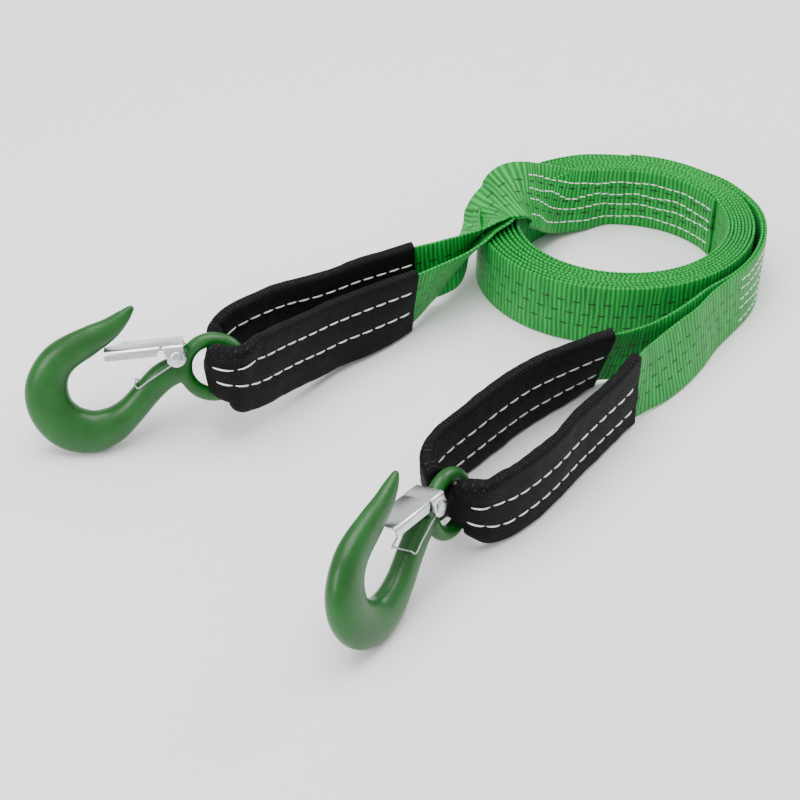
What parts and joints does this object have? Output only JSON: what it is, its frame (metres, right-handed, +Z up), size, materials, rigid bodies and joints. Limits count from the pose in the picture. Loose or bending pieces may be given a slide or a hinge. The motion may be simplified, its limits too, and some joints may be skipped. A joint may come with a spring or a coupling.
{
  "type": "tow strap with hooks",
  "caption": "Coiled green webbing recovery strap with sewn eyes in black fabric sleeves and forged eye hooks with sprung safety latches",
  "frame": {"origin": "on the floor under the middle of the outline of the strap as it lies", "axes": "+Z up; +X along the longest side, from the hooks towards the coil; -Y towards the side on which the right-hand hook lies"},
  "size_m": [0.5072, 0.4596, 0.0914],
  "materials": {
    "webbing": "woven polyester webbing, bright green with black tracer threads",
    "sleeve": "black woven nylon sleeve",
    "hook": "drop-forged steel, gloss dark green paint",
    "latch": "zinc-plated pressed steel sheet",
    "rivet": "zinc-plated steel",
    "spring": "plated spring wire"
  },
  "bodies": {
    "strap": {"webbing": "webbing", "sleeve_left": "sleeve", "sleeve_right": "sleeve"},
    "hook_left": {"hook_left": "hook", "latch_rivet_left": "rivet", "latch_spring_left": "spring"},
    "latch_left": {"latch_left": "latch"},
    "hook_right": {"hook_right": "hook", "latch_rivet_right": "rivet", "latch_spring_right": "spring"},
    "latch_right": {"latch_right": "latch"}
  },
  "joints": [
    {"name": "hook_swing_left", "type": "hinge", "parent": "strap", "child": "hook_left", "pos_m": [-0.13102, -0.01465, 0.05048], "axis": [-0.0856, 0.916, -0.3919], "range_deg": [0, 45]},
    {"name": "latch_pivot_left", "type": "hinge", "parent": "hook_left", "child": "latch_left", "pos_m": [-0.15471, -0.01257, 0.06051], "axis": [0.0856, -0.916, 0.3919], "range_deg": [0, 38], "stiffness_Nm_per_rad": 0.05, "springref_deg": -28.65, "deforming": ["latch_spring_left"]},
    {"name": "hook_swing_right", "type": "hinge", "parent": "strap", "child": "hook_right", "pos_m": [0.02078, -0.12395, 0.03318], "axis": [-0.8161, 0.5217, -0.2489], "range_deg": [0, 45]},
    {"name": "latch_pivot_right", "type": "hinge", "parent": "hook_right", "child": "latch_right", "pos_m": [0.0065, -0.13894, 0.04859], "axis": [0.8161, -0.5217, 0.2489], "range_deg": [0, 38], "stiffness_Nm_per_rad": 0.05, "springref_deg": -28.65, "deforming": ["latch_spring_right"]}
  ]
}
